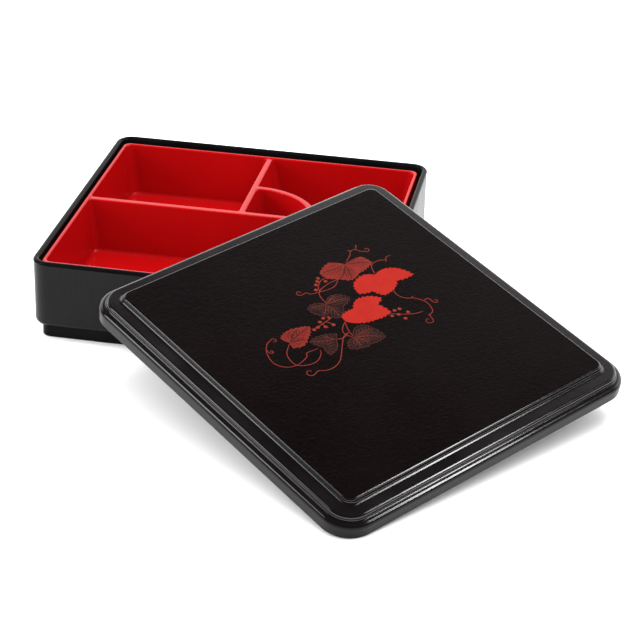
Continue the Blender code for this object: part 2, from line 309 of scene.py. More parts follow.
dividedTray = {
    "boxWall": 0.0044, "gap": 0.0026, "play": 0.0012, "rim": 0.0027, "outerCorner": 0.0055,
    "leastCorner": 0.004, "shift": (-0.0006, -0.0012),
    "top": 0.0583, "dividerDrop": 0.0009, "base": 0.0143, "floor": 0.0172,
    "edge": 0.0009, "draft": 0.0050, "dividerLean": 1.35, "fillet": 0.0038,
    "corner": 0.0053, "junction": 0.0026, "innerTurn": 0.0045, "outerTurn": 0.0018,
    "cornerGain": 0.5, "junctionGain": 0.5, "liftDepth": 0.006, "floorReach": 0.0006,
    "baseReach": 0.004, "baseDraft": 0.0010, "baseTurn": 0.0008, "rimReach": 0.0002,
    "near": {"across": 0.004, "along": 0.012, "step": 0.0005, "clear": 0.6},
    "weld": 0.000004,
    "crossY": 0.0045, "crossThickness": 0.0056, "midX": 0.0003, "midThickness": 0.0046,
    "arcCentre": (0.0035, 0.0020), "arcRadius": 0.0539, "arcThickness": 0.0050,
    "red": {"colour": (0.29, 0.0018, 0.0023), "colourTwo": (0.32, 0.0022, 0.0028),
            "roughness": (0.09, 0.15), "cloudScale": 18.0, "peelScale": 180.0,
            "specular": 0.14, "coat": 0.04, "coatRoughness": 0.06},
}


def arcRow(x, y, radius, start, stop, steps=12, before=0.0006, after=0.0006):
    # Points on an arc about (x, y), with a support point slid along the tangent at each end
    # that a straight follows: centre + radius * (cos, sin) + slide * (-sin, cos).
    turn = 1 if stop > start else -1
    lead, tail = ([start] if before else []), ([stop] if after else [])
    angle = np.concatenate([lead, np.linspace(start, stop, steps + 1), tail])
    slide = np.zeros(len(angle))
    if before:
        slide[0] = -turn * before
    if after:
        slide[-1] = turn * after
    return np.stack([x + radius * np.cos(angle) - slide * np.sin(angle),
                     y + radius * np.sin(angle) + slide * np.cos(angle)], 1)


def cornerRow(x, y, r, index):
    # One corner's arc; index 0 to 3 is front right, back right, back left, front left.
    signX, signY = ((1, -1), (1, 1), (-1, 1), (-1, -1))[index]
    return arcRow(x - signX * r, y - signY * r, r, (index - 1) * math.pi / 2,
                  index * math.pi / 2)


def rectangleOutline(x0, y0, x1, y1, radii):
    # Four corner arcs, anticlockwise from the front right corner.
    corners = ((x1, y0), (x1, y1), (x0, y1), (x0, y0))
    return np.concatenate([cornerRow(*corners[k], radii[k], k) for k in range(4)])


def quarterOutline(x0, y0, centre, radius, turn, corner):
    # A quarter round: small turns at the arc's ends, one large arc, and one plain corner.
    inner = radius - turn
    low = math.asin((y0 + turn - centre[1]) / inner)
    high = math.acos((x0 + turn - centre[0]) / inner)
    return np.concatenate([
        arcRow(centre[0] + inner * math.cos(low), y0 + turn, turn, -math.pi / 2, low, after=0),
        arcRow(*centre, radius, low, high, 48, 0, 0)[1:-1],
        arcRow(x0 + turn, centre[1] + inner * math.sin(high), turn, high, math.pi, before=0),
        cornerRow(x0, y0, corner, 3)])


def bentOutline(x0, y0, x1, y1, radii, centre, radius, turn):
    # A rectangle whose front left corner gives way to the outside of the quarter round's wall.
    reach = radius + turn
    low = math.asin((y0 + turn - centre[1]) / reach)
    high = math.acos((x0 + turn - centre[0]) / reach)
    return np.concatenate([
        cornerRow(x1, y0, radii[0], 0), cornerRow(x1, y1, radii[1], 1),
        cornerRow(x0, y1, radii[2], 2),
        arcRow(x0 + turn, centre[1] + reach * math.sin(high), turn,
               math.pi, math.pi + high, after=0),
        arcRow(*centre, radius, high, low, 56, 0, 0)[1:-1],
        arcRow(centre[0] + reach * math.cos(low), y0 + turn, turn,
               math.pi + low, 1.5 * math.pi, before=0)])


def trayHeight(points, s, halfX, halfY):
    # The top surface: the dividers' height, rising smoothly to the rim's height across the
    # line of the inner wall, by the signed distance to that rounded rectangle.
    q = np.abs(points) - np.array([halfX, halfY]) + s["corner"]
    outside = np.linalg.norm(np.maximum(q, 0), axis=-1)
    distance = outside + np.minimum(np.max(q, axis=-1), 0) - s["corner"]
    t = np.clip((distance + s["edge"]) / (2 * s["edge"]), 0, 1)
    return s["top"] - s["dividerDrop"] * (1 - t * t * (3 - 2 * t))


def pocketLevels(s):
    # (shrink, height) steps down a pocket: a rounded edge, the drafted wall, the floor fillet.
    top, edge, fillet = s["top"] - s["dividerDrop"], s["edge"], s["fillet"]
    a = np.linspace(0, math.pi / 2, 7)
    edgeShrink, edgeHeight = -edge * (1 - np.sin(a)), top - edge * (1 - np.cos(a))
    b = np.linspace(0, math.pi / 2, 9)
    filletShrink = s["draft"] + fillet * (1 - np.cos(b))
    filletHeight = s["floor"] + fillet * (1 - np.sin(b))
    wall = np.linspace(0, 1, 9)[1:-1]
    wallShrink = s["draft"] * wall
    wallHeight = (top - edge) + (s["floor"] + fillet - top + edge) * wall
    last = [filletShrink[-1] + s["floorReach"]]
    return (np.concatenate([edgeShrink, wallShrink, filletShrink, last]),
            np.concatenate([edgeHeight, wallHeight, filletHeight, [s["floor"]]]))


def insidePolygon(points, polygon):
    # Even-odd rule: count the polygon's edges that a ray towards +x crosses.
    x, y = points[:, :1], points[:, 1:]
    x0, y0 = polygon[:, 0], polygon[:, 1]
    x1, y1 = np.roll(x0, -1), np.roll(y0, -1)
    spans = (y0 > y) != (y1 > y)
    with np.errstate(divide="ignore", invalid="ignore"):
        cross = x0 + (y - y0) / (y1 - y0) * (x1 - x0)
    return (spans & (x < cross)).sum(1) % 2 == 1


def trayPlate(outer, mouths, s, halfX, halfY):
    # The flat top between the pockets: a constrained Delaunay mesh of the outlines, with
    # extra points where the dividers rise to the rim.
    loops = [outer, *mouths]
    across, along, step = (s["near"][key] for key in ("across", "along", "step"))
    near = []
    for cx, cy, w, h in ((halfX, s["crossY"], across, along), (-halfX, s["crossY"], across, along),
                         (s["midX"], halfY, along, across)):
        gx, gy = np.meshgrid(np.arange(cx - w, cx + w, step), np.arange(cy - h, cy + h, step))
        near.append(np.stack([gx.ravel(), gy.ravel()], 1))
    near = np.concatenate(near)
    edges = np.concatenate(loops)
    gaps = np.sqrt(((near[:, None] - edges[None]) ** 2).sum(-1)).min(1)
    clear = gaps > s["near"]["clear"] * step
    for mouth in mouths:
        clear &= ~insidePolygon(near, mouth)
    clear &= insidePolygon(near, outer)
    points = np.concatenate([edges, near[clear]])
    rim, first = [], 0
    for loop in loops:
        index = first + np.arange(len(loop))
        rim.append(np.stack([index, np.roll(index, -1)], 1))
        first += len(loop)
    millimetres = [Vector(p) for p in (points * 1000).tolist()]
    found = delaunay_2d_cdt(millimetres, np.concatenate(rim).tolist(), [], 0, 0.00001)
    source = np.array([o[0] for o in found[3]])
    faces = source[np.array(found[2])]
    middle = points[faces].mean(1)
    keep = insidePolygon(middle, outer)
    for mouth in mouths:
        keep &= ~insidePolygon(middle, mouth)
    faces = faces[keep]
    a, b, c = (points[faces[:, k]] for k in range(3))
    turn = (b[:, 0] - a[:, 0]) * (c[:, 1] - a[:, 1]) - (b[:, 1] - a[:, 1]) * (c[:, 0] - a[:, 0])
    faces[turn < 0] = faces[turn < 0][:, ::-1]
    return np.column_stack([points, trayHeight(points, s, halfX, halfY)]), faces


def makeTray(s):
    # Four pockets as stacked outlines, an outer wall round them, and a flat plate on top.
    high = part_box("outer_box")[1]
    outX = high.x - s["boxWall"] - s["gap"]
    outY = high.y - s["boxWall"] - s["gap"] - s["play"]
    halfX, halfY = outX - s["rim"], outY - s["rim"]
    crossBack = s["crossY"] + s["crossThickness"] / 2
    crossFront = s["crossY"] - s["crossThickness"] / 2
    midLeft, midRight = s["midX"] - s["midThickness"] / 2, s["midX"] + s["midThickness"] / 2
    centre = s["arcCentre"]
    inner = s["arcRadius"] - s["arcThickness"]

    def radii(shrink, pattern):
        # Wide corners (W) where the rim turns, tight ones (T) where a divider meets a wall.
        sizes = {"W": s["corner"] + s["cornerGain"] * shrink,
                 "T": s["junction"] + s["junctionGain"] * shrink}
        return [sizes[letter] for letter in pattern]

    lean = s["dividerLean"]
    outlines = {
        "front": lambda t: rectangleOutline(-halfX + t, -halfY + t, halfX - t,
                                            crossFront - lean * t, radii(t, "WTTW")),
        "backLeft": lambda t: rectangleOutline(-halfX + t, crossBack + lean * t,
                                               midLeft - lean * t, halfY - t,
                                               radii(t, "TTWT")),
        "quarter": lambda t: quarterOutline(midRight + lean * t, crossBack + lean * t, centre,
                                            inner - t, s["innerTurn"], radii(t, "T")[0]),
        "backRight": lambda t: bentOutline(midRight + lean * t, crossBack + lean * t, halfX - t,
                                           halfY - t, radii(t, "TWT"), centre,
                                           s["arcRadius"] + t,
                                           s["outerTurn"] + s["junctionGain"] * t),
    }
    shrinks, heights = pocketLevels(s)
    points, faces, mouths, start = [], [], [], 0
    for outline in outlines.values():
        rings = np.stack([outline(t) for t in shrinks])
        lift = trayHeight(rings, s, halfX, halfY) - (s["top"] - s["dividerDrop"])
        share = np.clip(1 - (heights[0] - heights) / s["liftDepth"], 0, 1)
        z = heights[:, None] + lift * share[:, None]
        z[0] = trayHeight(rings[0], s, halfX, halfY)
        count = rings.shape[1]
        points.append(np.concatenate([rings, z[..., None]], -1).reshape(-1, 3))
        faces += gridFaces(len(rings), count, start).tolist()
        faces.append(list(range(start + (len(rings) - 1) * count, start + len(rings) * count)))
        start += len(rings) * count
        mouths.append(rings[0])
    profile = roundedProfile([
        (s["baseReach"], s["base"]), (s["baseDraft"], s["base"], s["baseTurn"]),
        (0.0, s["top"], s["edge"]), (s["edge"] + s["rimReach"], s["top"])])
    outside = ringGrid(profile, outX, outY, s["outerCorner"], s["leastCorner"])
    rings, count = outside.shape[:2]
    points.append(outside.reshape(-1, 3))
    faces += gridFaces(rings, count, start).tolist()
    faces.append(list(range(start, start + count))[::-1])
    start += rings * count
    platePoints, plateFaces = trayPlate(outside[-1, :, :2], mouths, s, halfX, halfY)
    points.append(platePoints)
    faces += (plateFaces + start).tolist()
    red = lacquerMaterial("redLacquer", s["red"])
    placed = np.concatenate(points) + np.array([*s["shift"], 0])
    piece = makePiece("redDividedTray", placed, faces, [red])
    weld = bmesh.new()
    weld.from_mesh(piece.data)
    bmesh.ops.remove_doubles(weld, verts=weld.verts, dist=s["weld"])
    weld.to_mesh(piece.data)
    weld.free()
    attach(piece, "root")
    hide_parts("divided_tray")
    return piece


makeTray(dividedTray)
print("divided tray made")


# ---- lid

lid = {
    "width": 0.2590, "depth": 0.2690, "corner": 0.0210, "panelCorner": 0.0060,
    "place": (0.11661, -0.15483, 0.03797), "turn": (12.25, -4.936, 50.933),
    "ledge": 0.0103, "lean": 0.00028, "shoulder": 0.0030, "band": 0.0141, "panel": 0.0182,
    "wall": 0.0025, "grooveInset": 0.0050, "grooveHeight": 0.0101, "grooveRound": 0.0014,
    "bandRound": 0.0019, "riserDraft": 0.0002, "panelFoot": 0.0024, "panelInset": 0.0158,
    "panelRound": 0.0015, "panelReach": 0.0045,
    # the hidden underside, from its ceiling out and down to the skirt's foot
    "underInset": 0.0178, "underReach": 0.006, "underTurn": 0.0009,
    "shelfEnd": (0.0076, 0.0008), "ledgeUnder": (0.0074, 0.0084, 0.0006),
    "skirtTop": (0.0028, 0.0076, 0.0010), "skirtFoot": (0.0028, 0.0, 0.0005),
    "skirtEdge": 0.0009,
    # where the skirt's and the panel's own finishes begin
    "skirtInset": 0.003, "skirtDrop": 0.0015, "leatherInset": 0.0012, "leatherDrop": 0.0001,
    "gloss": {"colour": (0.0030, 0.0022, 0.0024), "colourTwo": (0.0045, 0.0034, 0.0036),
              "roughness": (0.10, 0.18), "cloudScale": 25.0, "peelScale": 220.0,
              "specular": 0.5, "coatRoughness": 0.05},
    "skirt": {"colour": (0.0036, 0.0030, 0.0034), "colourTwo": (0.0054, 0.0047, 0.0052),
              "roughness": (0.22, 0.32), "cloudScale": 20.0, "peelScale": 420.0,
              "specular": 0.13},
    "leather": {"colour": (0.0014, 0.0003, 0.0004), "colourTwo": (0.0020, 0.0006, 0.0007),
                "roughness": (0.24, 0.34), "cloudScale": 14.0, "peelScale": 1400.0,
                "specular": 0.038,
                "crepe": {"scale": 700.0, "distortion": 0.9, "depth": 0.00020,
                          "turn": -37.0, "lengthShare": 0.4}},
}
lidPlace = (lid["place"], tuple(math.radians(a) for a in lid["turn"]))
lidMatrix = np.array(Matrix.Translation(lid["place"]) @ Euler(lidPlace[1]).to_matrix().to_4x4())


def toLidPlace(points):
    # Carries points from the lid's own axes to where it leans.
    return np.asarray(points) @ lidMatrix[:3, :3].T + lidMatrix[:3, 3]


def makeLid(s):
    # The section runs from the hidden ceiling down to the skirt's foot and up to the panel.
    ceiling, shelf, under = s["panel"] - s["wall"], s["band"] - s["wall"], s["underInset"]
    shelfInset, shelfTurn = s["shelfEnd"]
    profile = roundedProfile([
        (under + s["underReach"], ceiling), (under, ceiling, s["underTurn"]),
        (under, shelf, s["underTurn"]), (shelfInset, shelf, shelfTurn),
        s["ledgeUnder"], s["skirtTop"], s["skirtFoot"],
        (s["lean"], 0.0, s["skirtEdge"]), (s["lean"], s["ledge"], s["shoulder"]),
        (s["grooveInset"], s["grooveHeight"], s["grooveRound"]),
        (s["grooveInset"] + s["riserDraft"], s["band"], s["bandRound"]),
        (s["panelInset"] - s["riserDraft"], s["band"], s["panelFoot"]),
        (s["panelInset"], s["panel"], s["panelRound"]),
        (s["panelInset"] + s["panelReach"], s["panel"])], steps=7)
    grid = ringGrid(profile, s["width"] / 2, s["depth"] / 2, s["corner"], s["panelCorner"])
    grid = toLidPlace(grid)
    middle = (profile[1:] + profile[:-1]) / 2
    slots = np.zeros(len(middle), int)
    isSkirt = middle[:, 0] < s["skirtInset"]
    slots[isSkirt & (middle[:, 1] < s["ledge"] - s["skirtDrop"])] = 1
    isPanel = middle[:, 0] > s["panelInset"] + s["leatherInset"]
    slots[isPanel & (middle[:, 1] > s["panel"] - s["leatherDrop"])] = 2
    materials = [lacquerMaterial("lidGloss", s["gloss"], lidPlace),
                 lacquerMaterial("lidSkirt", s["skirt"], lidPlace),
                 lacquerMaterial("lidLeather", s["leather"], lidPlace)]
    piece = closedLoft("lidShell", grid, materials, slots, 0, 2)
    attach(piece, "root")
    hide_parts("lid")
    return piece


makeLid(lid)
print("lid made")


# ---- vine ornament on the lid's panel

vine = {
    "middle": (0.0061, 0.0195), "turn": -37.0, "relief": 0.00010, "edgeDepth": 0.00003,
    "tooth": {"pitch": 3.4, "depth": 1.45, "bulge": 0.06},
    "stemWidth": 0.68, "veinWidth": 0.46, "mainVeinWidth": 0.85, "outlineWidth": 0.42,
    # shares are of the main vein's length; the side veins' angle is in radians
    "veining": {"pitch": 2.7, "reach": 0.93, "bend": 0.04, "start": 0.03, "firstSide": 0.14,
                "sideSpan": 0.8, "sideAngle": 0.8, "sideShare": 0.42, "sideFade": 1.1,
                "sideExtra": 0.8, "sideMost": 6.5, "sideCurl": 0.22},
    # a berry's rings as (radius share, height share of the relief), from the outermost in
    "berry": {"radius": 1.4, "sides": 20, "rings": ((0.9, 0.5), (0.6, 0.9), (0.05, 1.0))},
    "paints": {
        "bright": {"colour": (0.215, 0.0070, 0.0036), "colourTwo": (0.235, 0.0085, 0.0046)},
        "dull": {"colour": (0.100, 0.0085, 0.0055), "colourTwo": (0.135, 0.0115, 0.0072)},
        "stem": {"colour": (0.120, 0.0115, 0.0066), "colourTwo": (0.150, 0.0140, 0.0080)},
        "dark": {"colour": (0.0050, 0.0022, 0.0018), "colourTwo": (0.0070, 0.0030, 0.0024)},
        "line": {"colour": (0.066, 0.0100, 0.0064), "colourTwo": (0.086, 0.0130, 0.0082)},
        "vein": {"colour": (0.0030, 0.0010, 0.0008), "colourTwo": (0.0045, 0.0015, 0.0012)},
    },
    "finish": {"roughness": (0.30, 0.40), "cloudScale": 120.0, "peelScale": 1400.0,
               "specular": 0.06},
    # a leaf's base in millimetres from the ornament's middle, its margin points as (degrees,
    # millimetres) from that base, and the margin points that a main vein runs to
    "leaves": {
        "wideLeaf": {
            "kind": "veined", "base": (-0.1, 50.5), "veins": (1, 3, 4, 6, 7),
            "margin": ((-185, 11.5), (-148, 21.6), (-133, 21.3), (-102, 17.3), (-77, 17.5),
                       (-46, 13.1), (10, 19.7), (39, 15.2))},
        "brightLeaf": {
            "kind": "solid", "base": (20.4, 40.5),
            "margin": ((-176, 7.5), (-158, 14.1), (-141, 20.7), (-120, 25.3), (-100, 18.6),
                       (-77, 22.6), (-43, 18.2), (-21, 15.8), (5, 27.5), (30, 17.3), (49, 8.6))},
        "brightLeafLow": {
            "kind": "solid", "base": (-3.2, -11.6),
            "margin": ((-6, 8.4), (10, 21.2), (21, 33.9), (41, 30.4), (46, 37.7), (59, 33.0),
                       (71, 25.3), (68, 15.3), (117, 6.9))},
        "drawnLeafTop": {
            "kind": "drawn", "base": (-15.8, 6.0), "veins": (1, 3, 4, 6, 7),
            "margin": ((-185, 7.2), (-159, 13.6), (-140, 14.1), (-101, 12.5), (-55, 16.4),
                       (-6, 11.6), (26, 18.6), (55, 13.3), (76, 7.7))},
        "drawnLeafLeft": {
            "kind": "drawn", "base": (-11.3, -30.2), "veins": (0, 1, 2, 4),
            "margin": ((-278, 5.8), (-200, 9.9), (-169, 18.0), (-136, 12.2), (-106, 16.6),
                       (-85, 8.0))},
        "heartLeafRight": {
            "kind": "drawn", "base": (0.7, -27.0), "veins": (1, 2, 3, 4, 5),
            "margin": ((-125, 7.1), (-105, 12.3), (-65, 11.9), (-27, 13.2), (5, 21.9), (36, 17.2),
                       (60, 14.9), (81, 9.5))},
        "heartLeafLeft": {
            "kind": "veined", "base": (-42.3, -35.8), "veins": (1, 2, 3, 4, 5),
            "margin": ((-69, 5.5), (-15, 9.5), (22, 13.3), (51, 22.8), (69, 16.9), (97, 12.2),
                       (146, 7.6))},
    },
    # stems as points in millimetres from the middle, and the curls that some end in as
    # (radius, turns, side)
    "stems": {
        "topMain": ((0.6, 52.5), (4.0, 60.9), (4.7, 65.1), (7.9, 68.0), (11.6, 66.3),
            (15.9, 66.0)),
        "topHook": ((4.7, 65.1), (3.4, 66.6), (2.4, 66.4)),
        "topSpur": ((8.2, 67.9), (9.0, 70.5), (8.8, 73.4)),
        "upRight": ((20.4, 41.0), (18.5, 48.4), (19.7, 53.2), (24.2, 56.7), (29.0, 58.0),
            (29.9, 61.4), (32.9, 63.0)),
        "upRightHook": ((28.2, 58.0), (29.6, 57.0), (29.0, 56.0)),
        "rightMain": ((30.6, 28.2), (34.0, 19.7), (39.6, 16.5), (45.5, 16.9), (51.9, 14.4),
            (55.7, 10.1), (57.2, 3.7), (55.0, -0.6), (56.5, -5.0)),
        "rightHook": ((55.0, -0.6), (53.6, -0.2)),
        "rightTop": ((51.9, 14.4), (55.2, 17.2), (58.6, 13.7)),
        "rightSpur": ((43.2, 16.4), (44.2, 17.6), (44.9, 19.0)),
        "berryRight": ((26.9, -0.2), (32.2, -1.1), (38.9, -0.7), (44.8, 0.4), (50.5, 2.9)),
        "leftMain": ((-5.9, 33.5), (-8.3, 26.6), (-12.7, 22.4), (-18.7, 19.4), (-25.6, 16.3),
            (-28.8, 17.4), (-31.6, 15.0)),
        "leftLoop": ((-5.9, 33.5), (-11.5, 29.7), (-16.8, 24.1), (-19.6, 19.3), (-19.4, 14.1),
            (-15.8, 7.0)),
        "berryLeft": ((-19.4, 19.3), (-20.1, 24.5), (-18.1, 31.2), (-14.1, 34.8)),
        "berryMid": ((-12.8, -7.8), (-17.2, -12.5), (-25.0, -20.5)),
        "berryMidRight": ((-17.2, -12.5), (-14.6, -13.4), (-12.0, -14.9)),
        "berryMidLow": ((-19.8, -14.6), (-17.8, -17.0), (-15.5, -18.7)),
        "crossLeft": ((-4.1, -11.5), (-6.2, -19.3), (-4.9, -24.2), (0.9, -27.6)),
        "crossRight": ((-4.1, -11.5), (-2.2, -20.3), (0.9, -26.6)),
        "crossLow": ((-11.3, -30.2), (-5.9, -28.0), (-2.3, -22.2)),
        "down": ((-2.3, -22.2), (-5.8, -26.8), (-7.1, -34.2), (-8.6, -45.3), (-9.8, -51.4),
            (-13.4, -57.7), (-19.2, -61.6), (-24.7, -62.6), (-27.2, -66.0)),
        "loopRight": ((-42.6, -36.5), (-44.8, -46.3), (-42.7, -53.4), (-38.1, -57.9),
            (-30.9, -56.9), (-25.1, -53.0), (-22.2, -46.1), (-22.5, -41.3)),
        "loopLeft": ((-23.6, -40.2), (-31.1, -44.9), (-32.1, -49.8), (-38.1, -57.3),
            (-46.2, -60.2), (-54.0, -56.5), (-58.0, -47.1), (-57.7, -38.6), (-54.9, -33.4)),
        "loopCurl": ((-58.2, -44.1), (-56.4, -46.4)),
    },
    "curls": {"topMain": (2.2, 0.9, 1), "rightMain": (3.2, 0.95, -1), "rightTop": (2.0, 0.85, 1),
              "leftMain": (2.6, 0.9, -1), "down": (3.4, 0.85, -1), "loopLeft": (2.2, 0.8, -1),
              "loopCurl": (1.7, 0.9, 1)},
    "berries": ((30.9, 2.6), (34.4, 4.5), (28.7, -3.2), (33.4, -1.4), (40.0, 1.6), (37.7, -5.2),
                (-19.9, 33.7), (-20.6, 30.2), (-21.7, 26.4), (-22.0, 20.9), (-14.8, 30.8),
                (-12.9, 34.9), (-18.6, -8.8), (-21.1, -13.0), (-25.4, -21.2), (-22.7, -18.6),
                (-12.0, -15.2), (-17.5, -17.7), (-14.5, -7.9)),
}


def toPanel(points, lift):
    # Ornament millimetres, turned to run along the panel's diagonal, set on the panel's plane.
    turn = math.radians(vine["turn"])
    u, v = points[..., 0] / 1000, points[..., 1] / 1000
    x = vine["middle"][0] + u * math.cos(turn) - v * math.sin(turn)
    y = vine["middle"][1] + u * math.sin(turn) + v * math.cos(turn)
    z = lid["panel"] + np.broadcast_to(lift, x.shape)
    return toLidPlace(np.stack([x, y, z], -1))


def leafMargin(leaf, tooth, steps=36):
    # Margin points joined by shallow outward bows with saw teeth along them: a straight blend,
    # plus the normal times a sine bow and a falling saw wave.
    angle = np.radians([m[0] for m in leaf["margin"]])
    length = np.array([m[1] for m in leaf["margin"]])
    base = np.array(leaf["base"])
    tips = base + length[:, None] * np.stack([np.cos(angle), np.sin(angle)], 1)
    corners = np.concatenate([base[None], tips, base[None]])
    start, stop = corners[:-1, None], corners[1:, None]
    t = (np.arange(steps) / steps)[None, :, None]
    along = stop - start
    size = np.linalg.norm(along, axis=-1, keepdims=True)
    normal = np.stack([along[..., 1], -along[..., 0]], -1) / size
    count = np.maximum(np.round(size / tooth["pitch"]), 1)
    saw = (t * count) % 1.0
    fade = np.minimum(1, 4 * np.minimum(t, 1 - t) + 0.2)
    teeth = tooth["depth"] * (0.5 - saw) * fade
    teeth[[0, -1]] = 0
    bow = tooth["bulge"] * size * np.sin(np.pi * t)
    return (start + along * t + normal * (bow + teeth)).reshape(-1, 2)


def discMesh(margin, lifts, shares):
    # Rings from the margin's middle out: middle + share * (margin - middle), at given heights.
    middle = margin.mean(0)
    rings = middle + np.array(shares)[:, None, None] * (margin - middle)
    return toPanel(rings, np.array(lifts)[:, None])


def smoothPath(points, spacing=0.25):
    # A Catmull-Rom curve through the points, sampled at about even steps.
    p = np.array(points, float)
    if len(p) == 2:
        p = np.stack([p[0], p.mean(0), p[1]])
    p = np.concatenate([[2 * p[0] - p[1]], p, [2 * p[-1] - p[-2]]])
    a, b, c, d = p[:-3, None], p[1:-2, None], p[2:-1, None], p[3:, None]
    t = np.linspace(0, 1, 24, endpoint=False)[None, :, None]
    curve = 0.5 * (2 * b + (c - a) * t + (2 * a - 5 * b + 4 * c - d) * t ** 2
                   + (3 * b - a - 3 * c + d) * t ** 3).reshape(-1, 2)
    curve = np.concatenate([curve, p[-2:-1]])
    far = np.concatenate([[0], np.cumsum(np.linalg.norm(np.diff(curve, axis=0), axis=1))])
    even = np.linspace(0, far[-1], max(int(far[-1] / spacing), 6))
    return np.stack([np.interp(even, far, curve[:, k]) for k in range(2)], 1)


def addCurl(path, curl, steps=60):
    # Goes on from the path's end in a spiral whose radius shrinks: heading turns by
    # 360 degrees times the turns, and each step's length is the radius times its turn.
    radius, turns, side = curl
    heading = math.atan2(*(path[-1] - path[-3])[::-1])
    t = (np.arange(steps) + 0.5) / steps
    angle = heading + side * 2 * math.pi * turns * t
    step = radius * (1 - 0.62 * t) * 2 * math.pi * turns / steps
    walk = np.cumsum(np.stack([np.cos(angle), np.sin(angle)], 1) * step[:, None], axis=0)
    return np.concatenate([path, path[-1] + walk])


# a ribbon's cross section: places in half widths, and heights as shares of its lift
ribbonAcross = np.array([-1, -0.62, 0, 0.62, 1])
ribbonCrown = np.array([0, 0.75, 1, 0.75, 0])


def ribbon(path, width, low, high, taper=0.35, tip=0.3):
    # A low rounded strip: five points across, a half width to each side, thinner at the ends.
    ahead = np.gradient(path, axis=0)
    ahead /= np.linalg.norm(ahead, axis=1, keepdims=True) + 1e-12
    left = np.stack([-ahead[:, 1], ahead[:, 0]], 1)
    t = np.linspace(0, 1, len(path))
    half = width / 2 * (tip + (1 - tip) * np.clip(np.minimum(t, 1 - t) / taper, 0, 1) ** 0.5)
    lift = low + (high - low) * ribbonCrown
    flat = path[:, None] + left[:, None] * (ribbonAcross[None, :, None] * half[:, None, None])
    return toPanel(flat, lift[None, :])


def ribbonFaces(rows, start):
    # Quads between neighbouring rows of an open grid.
    width = len(ribbonAcross)
    i, j = np.meshgrid(np.arange(rows - 1), np.arange(width - 1), indexing="ij")
    a = start + i * width + j
    return np.stack([a, a + width, a + width + 1, a + 1], -1).reshape(-1, 4).tolist()


def ribbonPiece(name, ribbons, material):
    faces, start = [], 0
    for grid in ribbons:
        faces += ribbonFaces(len(grid), start)
        start += grid.shape[0] * grid.shape[1]
    points = np.concatenate([grid.reshape(-1, 3) for grid in ribbons])
    return makePiece(name, points, faces, [material])


def insideRun(path, margin):
    # The path's first stretch that stays within the leaf's margin.
    inside = insidePolygon(path, margin)
    return path[:len(path) if inside.all() else int(np.argmin(inside))]


def leafVeins(leaf, margin, s):
    # Two lists of paths, cut short a little inside the margin: main veins from the base towards
    # chosen margin points, and slanting side veins at even steps along both flanks of each.
    base, mains, sides = np.array(leaf["base"]), [], []
    middle = margin.mean(0)
    bounds = middle + s["reach"] * (margin - middle)
    for index in leaf["veins"]:
        degrees, length = leaf["margin"][index]
        turn = math.radians(degrees)
        ahead = np.array([math.cos(turn), math.sin(turn)])
        side = np.array([-ahead[1], ahead[0]])
        bend = s["bend"] * length
        start = base + ahead * s["start"] * length
        mains.append(insideRun(smoothPath([start, base + ahead * length * 0.5 + side * bend,
                                           base + ahead * length]), bounds))
        steps = max(int(length * s["sideSpan"] / s["pitch"]), 2)
        for share in s["firstSide"] + s["sideSpan"] * np.arange(steps) / steps:
            root = base + ahead * length * share + side * bend * 4 * share * (1 - share)
            branch = s["sideShare"] * length * (s["sideFade"] - share) + s["sideExtra"]
            branch = min(branch, s["sideMost"])
            for sign in (-1, 1):
                out = ahead * math.cos(s["sideAngle"]) + side * sign * math.sin(s["sideAngle"])
                tip = root + out * branch * 0.95 + ahead * branch * s["sideCurl"]
                sides.append(insideRun(smoothPath([root, root + out * branch * 0.5, tip]),
                                       bounds))
    return [[path for path in paths if len(path) > 3] for paths in (mains, sides)]


